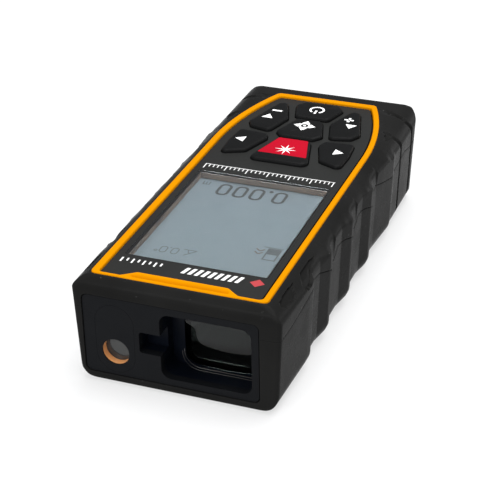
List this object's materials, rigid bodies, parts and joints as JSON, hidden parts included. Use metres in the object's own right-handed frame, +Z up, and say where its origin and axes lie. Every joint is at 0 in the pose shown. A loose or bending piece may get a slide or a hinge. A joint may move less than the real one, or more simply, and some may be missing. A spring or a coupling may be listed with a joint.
{
  "type": "laser distance meter",
  "caption": "Pocket laser distance meter with ribbed rubber jacket, bright trim ring, display, press keys, recessed receiver lens and laser window, and a sliding battery cover.",
  "frame": {"origin": "middle of the outline on the surface that the meter lies on, screen up", "axes": "+Z up out of the screen, +Y along the measuring beam, +X to the user's right when the keys are nearest"},
  "size_m": [0.0558, 0.1265, 0.0305],
  "materials": {
    "jacket_rubber": "matt soft overmoulded rubber with a fine grain",
    "casing_plastic": "dark moulded plastic",
    "gasket_silicone": "silicone seal",
    "trim_orange": "satin orange-yellow moulding",
    "panel_black": "fine textured black front panel",
    "window_clear": "clear hard-coated window",
    "frame_taupe": "moulded light frame round the display",
    "lcd_grey": "pale blue-grey liquid crystal glass",
    "light_guide": "milky light guide",
    "dome_film": "thin film that holds the domes",
    "dome_steel": "snap domes",
    "key_rubber": "soft satin key rubber",
    "key_red": "red satin key face",
    "board_green": "glass-fibre circuit board",
    "screw_steel": "plated steel screws",
    "chip_black": "moulded package",
    "buzzer_black": "sounder case",
    "nose_grey": "dark grey nose moulding",
    "hood_black": "black light baffle",
    "lens_glass": "coated receiver lens",
    "chassis_black": "rigid optical moulding",
    "barrel_brass": "turned brass",
    "diode_steel": "plated metal cans",
    "sleeve_amber": "amber sleeve round the laser aperture",
    "laser_glass": "flat exit window",
    "shield_steel": "pressed screening can",
    "cell_wrap": null,
    "contact_nickel": "nickel-plated contacts",
    "cover_black": "textured sliding cover"
  },
  "bodies": {
    "housing": {"upper_jacket": "jacket_rubber", "lower_jacket": "jacket_rubber", "upper_casing": "casing_plastic", "lower_casing": "casing_plastic", "casing_gasket": "gasket_silicone", "trim_ring": "trim_orange", "front_panel": "panel_black", "display_window": "window_clear", "display_frame": "frame_taupe", "lcd_glass": "lcd_grey", "backlight_guide": "light_guide", "dome_sheet": "dome_film", "dome_switches": "dome_steel", "main_board": "board_green", "sensor_board": "board_green", "board_screws": "screw_steel", "casing_screws": "screw_steel", "processor_chip": "chip_black", "buzzer": "buzzer_black", "nose_plate": "nose_grey", "laser_insert": "nose_grey", "receiver_hood": "hood_black", "lens_retainer": "hood_black", "laser_shroud": "hood_black", "receiver_lens": "lens_glass", "collimator_lens": "lens_glass", "optical_chassis": "chassis_black", "laser_barrel": "barrel_brass", "tripod_insert": "barrel_brass", "laser_diode": "diode_steel", "light_sensor": "diode_steel", "laser_sleeve": "sleeve_amber", "laser_window": "laser_glass", "sensor_shield": "shield_steel", "battery_right": "cell_wrap", "battery_left": "cell_wrap", "battery_contacts": "contact_nickel", "battery_springs": "contact_nickel"},
    "battery_cover_body": {"battery_cover": "cover_black"},
    "key_read_body": {"key_read": "key_rubber", "key_read_inlay": "key_red"},
    "key_menu_body": {"key_menu": "key_rubber"},
    "key_function_body": {"key_function": "key_rubber"},
    "key_plus_body": {"key_plus": "key_rubber"},
    "key_minus_body": {"key_minus": "key_rubber"},
    "key_reference_body": {"key_reference": "key_rubber"},
    "key_clear_body": {"key_clear": "key_rubber"}
  },
  "joints": [
    {"name": "battery_cover_slide", "type": "slide", "parent": "housing", "child": "battery_cover_body", "axis": [0, -1, 0], "range_m": [0, 0.014]},
    {"name": "key_read_press", "type": "slide", "parent": "housing", "child": "key_read_body", "axis": [0, 0, -1], "range_m": [0, 0.0007], "stiffness_N_per_m": 1500},
    {"name": "key_menu_press", "type": "slide", "parent": "housing", "child": "key_menu_body", "axis": [0, 0, -1], "range_m": [0, 0.0007], "stiffness_N_per_m": 1500},
    {"name": "key_function_press", "type": "slide", "parent": "housing", "child": "key_function_body", "axis": [0, 0, -1], "range_m": [0, 0.0007], "stiffness_N_per_m": 1500},
    {"name": "key_plus_press", "type": "slide", "parent": "housing", "child": "key_plus_body", "axis": [0, 0, -1], "range_m": [0, 0.0007], "stiffness_N_per_m": 1500},
    {"name": "key_minus_press", "type": "slide", "parent": "housing", "child": "key_minus_body", "axis": [0, 0, -1], "range_m": [0, 0.0007], "stiffness_N_per_m": 1500},
    {"name": "key_reference_press", "type": "slide", "parent": "housing", "child": "key_reference_body", "axis": [0, 0, -1], "range_m": [0, 0.0007], "stiffness_N_per_m": 1500},
    {"name": "key_clear_press", "type": "slide", "parent": "housing", "child": "key_clear_body", "axis": [0, 0, -1], "range_m": [0, 0.0007], "stiffness_N_per_m": 1500}
  ]
}
